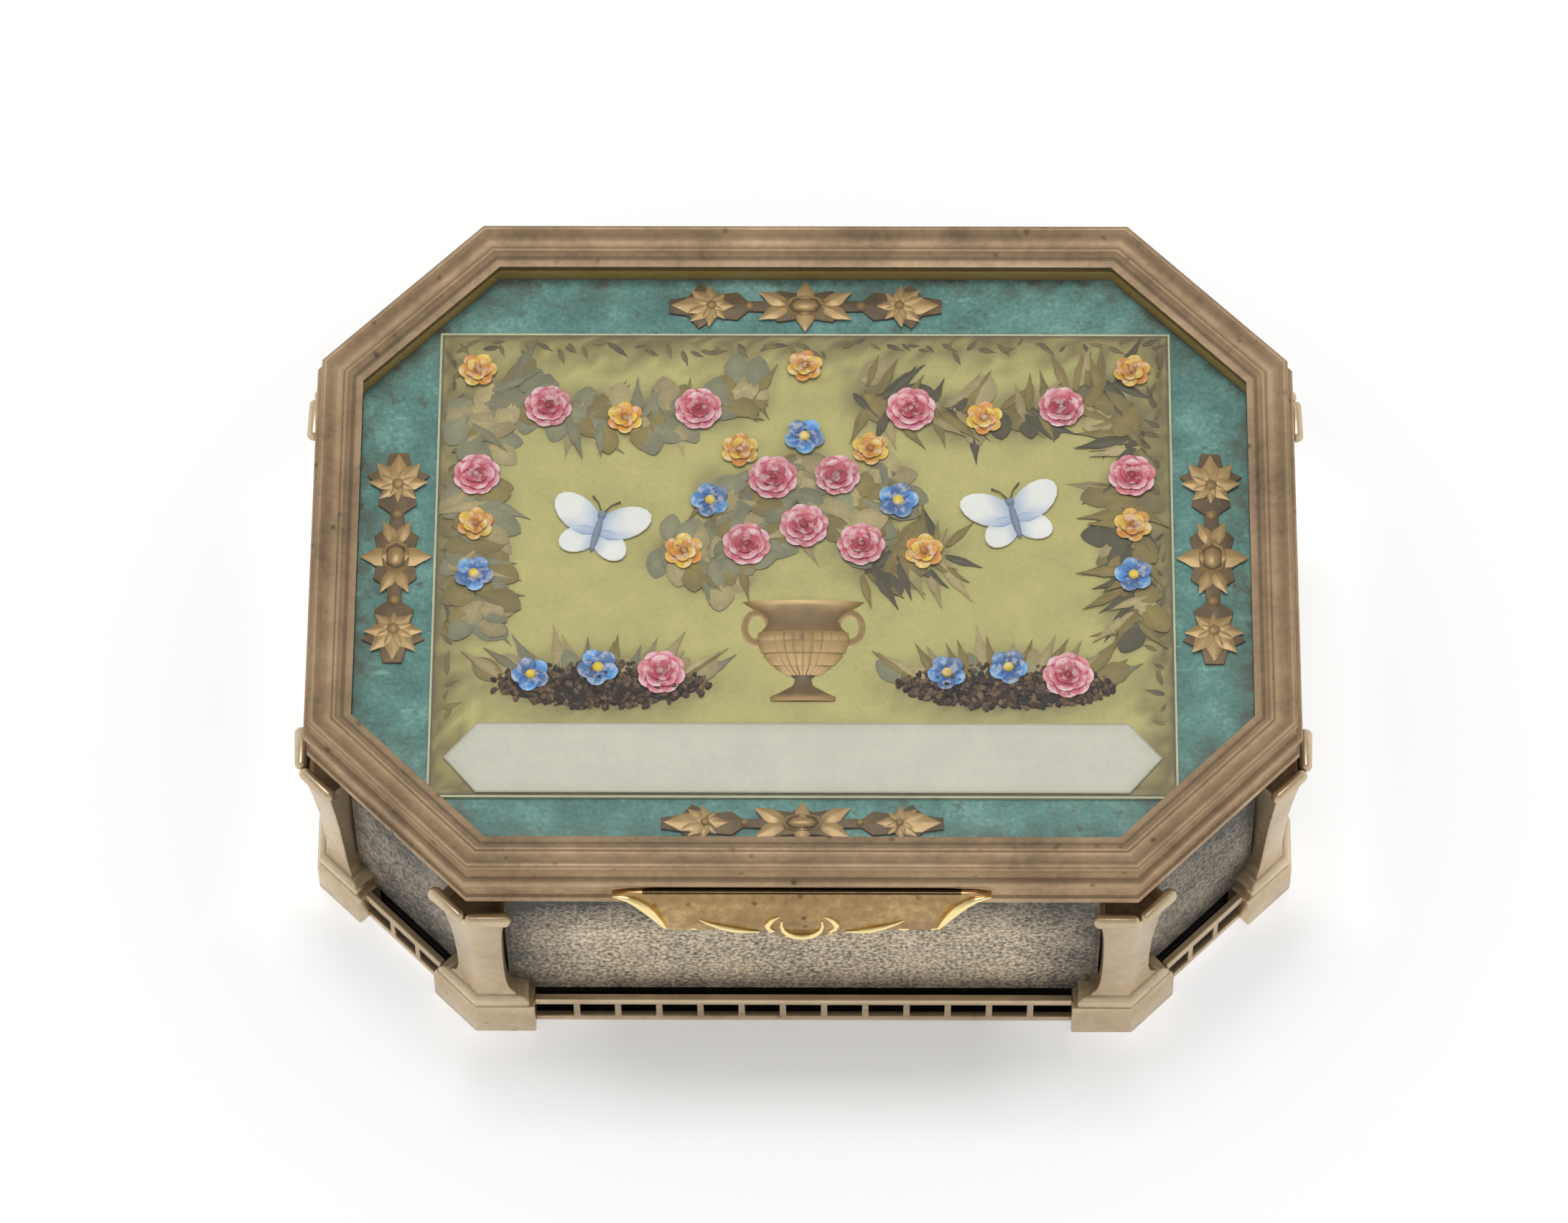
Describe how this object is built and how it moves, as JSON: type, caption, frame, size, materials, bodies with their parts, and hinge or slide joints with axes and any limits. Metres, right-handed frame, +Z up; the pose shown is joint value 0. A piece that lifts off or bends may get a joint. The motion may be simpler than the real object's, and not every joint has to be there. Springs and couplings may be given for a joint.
{
  "type": "casket box",
  "caption": "Small cut-cornered gilt-metal keepsake casket with corner pilasters, a pierced base gallery and a hinged lid that frames a flower collage under glass.",
  "frame": {"origin": "on the ground under the middle of the casket", "axes": "+X to the right along the width, +Y to the hinge at the back, +Z up"},
  "size_m": [0.093, 0.0729, 0.032],
  "materials": {
    "lid_gilt": "aged copper-toned gilding, satin, brighter along worn edges",
    "thumb_gilt": "brighter gilding, polished by handling",
    "mount_gilt": "pale worn gilding, satin",
    "inner_gilt": "plain gilding, softly brushed",
    "slip_gilt": "dull gilding",
    "panel_metal": "dark matted metal with gold flecks",
    "pin_steel": "drawn wire",
    "clear_glass": "clear old glass",
    "teal_paper": "painted paper, rubbed",
    "olive_card": "painted card, mottled",
    "cream_paper": "bare laid paper",
    "gilt_paper": "stamped gilt paper, tarnished",
    "leaf_paper": "painted cut paper",
    "moss_paper": "painted, crumbled",
    "rose_paper": "painted, petals picked out in white",
    "blue_paper": "painted",
    "yellow_paper": "painted",
    "white_paper": "painted"
  },
  "bodies": {
    "case": {"floor_plate": "inner_gilt", "case_wall": "inner_gilt", "case_rim": "lid_gilt", "front_panel": "panel_metal", "front_right_corner_panel": "panel_metal", "right_panel": "panel_metal", "back_right_corner_panel": "panel_metal", "back_panel": "panel_metal", "back_left_corner_panel": "panel_metal", "left_panel": "panel_metal", "front_left_corner_panel": "panel_metal", "plinth_front_left": "mount_gilt", "pilaster_front_left": "mount_gilt", "plinth_front_right": "mount_gilt", "pilaster_front_right": "mount_gilt", "plinth_right_front": "mount_gilt", "pilaster_right_front": "mount_gilt", "plinth_right_back": "mount_gilt", "pilaster_right_back": "mount_gilt", "plinth_back_right": "mount_gilt", "pilaster_back_right": "mount_gilt", "plinth_back_left": "mount_gilt", "pilaster_back_left": "mount_gilt", "plinth_left_back": "mount_gilt", "pilaster_left_back": "mount_gilt", "plinth_left_front": "mount_gilt", "pilaster_left_front": "mount_gilt", "front_gallery": "mount_gilt", "front_right_corner_gallery": "mount_gilt", "right_gallery": "mount_gilt", "back_right_corner_gallery": "mount_gilt", "back_gallery": "mount_gilt", "back_left_corner_gallery": "mount_gilt", "left_gallery": "mount_gilt", "front_left_corner_gallery": "mount_gilt", "case_hinge_knuckles": "lid_gilt", "hinge_pin": "pin_steel"},
    "lid": {"lid_frame": "lid_gilt", "glass_pane": "clear_glass", "glass_slip": "slip_gilt", "picture_mount": "teal_paper", "lid_back_plate": "inner_gilt", "picture_card": "olive_card", "caption_strip": "cream_paper", "front_ornament": "gilt_paper", "right_ornament": "gilt_paper", "back_ornament": "gilt_paper", "left_ornament": "gilt_paper", "foliage_sprays": "leaf_paper", "moss_mounds": "moss_paper", "flower_urn": "gilt_paper", "butterfly_scraps": "white_paper", "rose_scraps": "rose_paper", "blue_flower_scraps": "blue_paper", "yellow_flower_scraps": "yellow_paper", "thumb_piece": "thumb_gilt", "lid_hinge_knuckles": "lid_gilt"}
  },
  "joints": [
    {"name": "lid_hinge", "type": "hinge", "parent": "case", "child": "lid", "pos_m": [0, 0.03535, 0.0258], "axis": [-1, 0, 0], "range_deg": [0, 100]}
  ]
}
